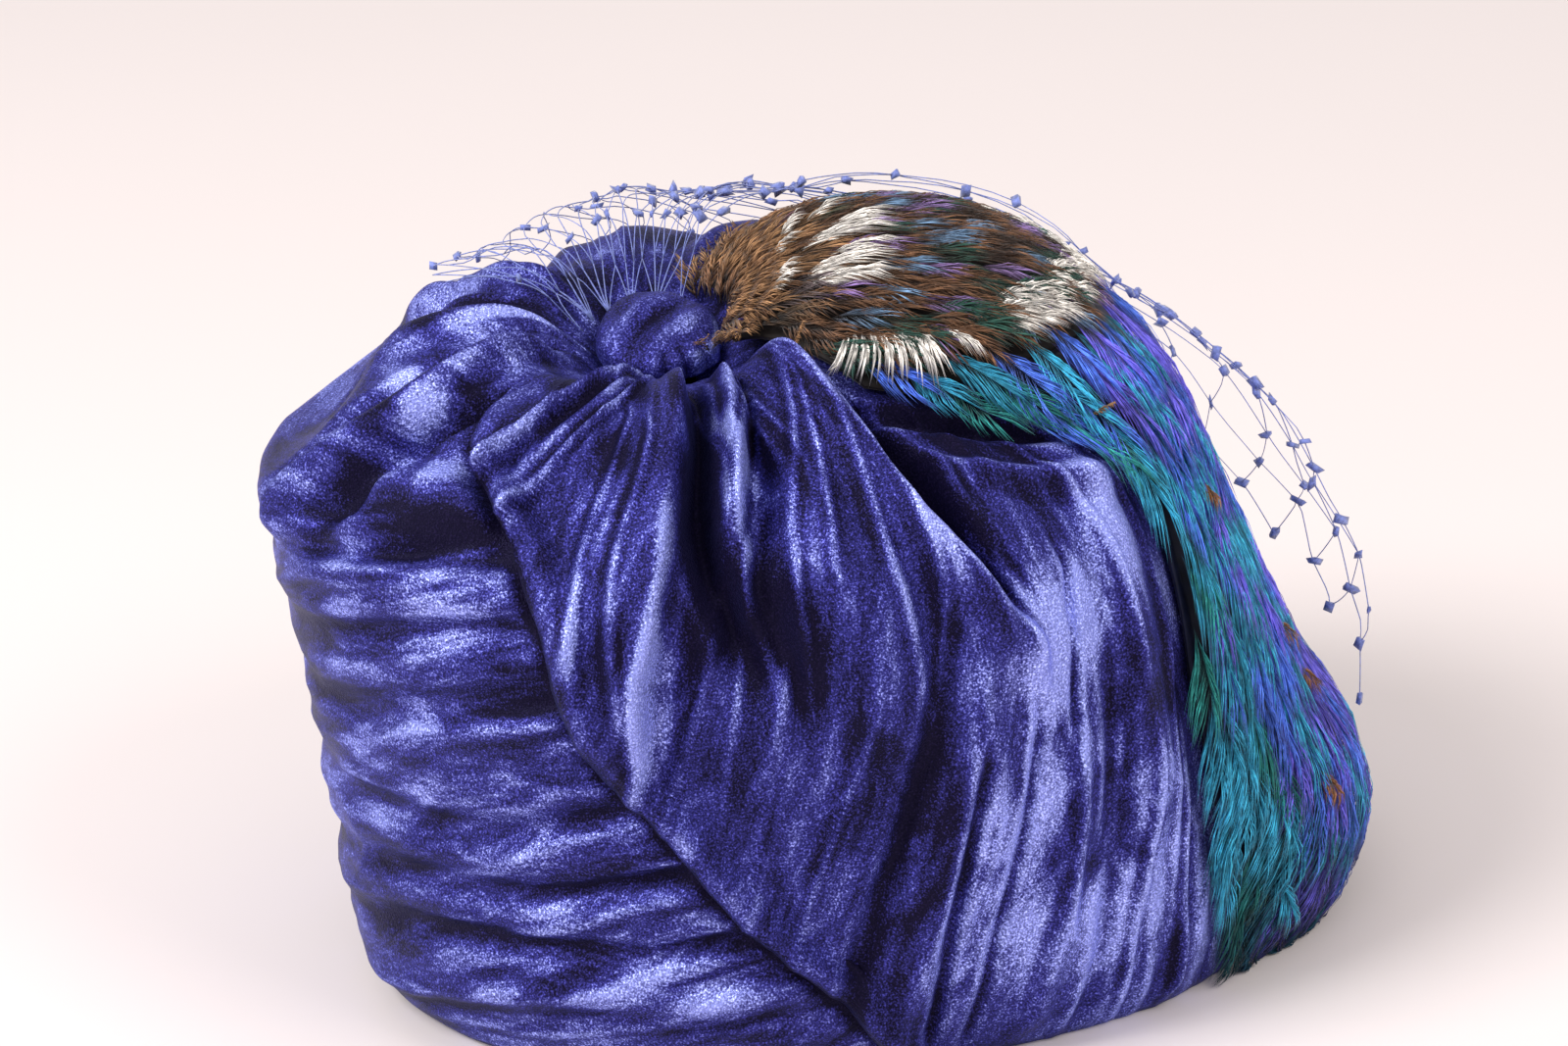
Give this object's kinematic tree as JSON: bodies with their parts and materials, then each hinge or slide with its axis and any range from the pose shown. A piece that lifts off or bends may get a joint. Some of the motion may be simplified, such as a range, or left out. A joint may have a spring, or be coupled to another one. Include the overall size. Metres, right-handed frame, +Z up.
{
  "type": "velvet hat with feathers and a net veil",
  "caption": "Draped velvet toque gathered under a covered button, with a feather pad down the front and a coarse net veil, resting on its rim.",
  "frame": {"origin": "middle of the hat's box, at the height of the rim that it rests on", "axes": "+Z up, -Y towards the hat's front, -X towards the wearer's right"},
  "size_m": [0.2064, 0.2548, 0.167],
  "materials": {
    "side_velvet": "crushed pile, glossy along the pleats",
    "back_velvet": "crushed pile, glossy along the folds",
    "button_velvet": "pile stretched over a button form",
    "crown_feather": "soft body feathers, brown with white and violet",
    "collar_feather": "soft white body feathers",
    "breast_feather": "long glossy blue and green feathers",
    "net": "matt stiffened thread"
  },
  "bodies": {
    "root": {"side_panel": "side_velvet", "back_panel": "back_velvet", "button": "button_velvet", "crown_feathers": "crown_feather", "collar_feathers": "collar_feather", "breast_feathers": "breast_feather", "veil": "net"}
  },
  "joints": []
}
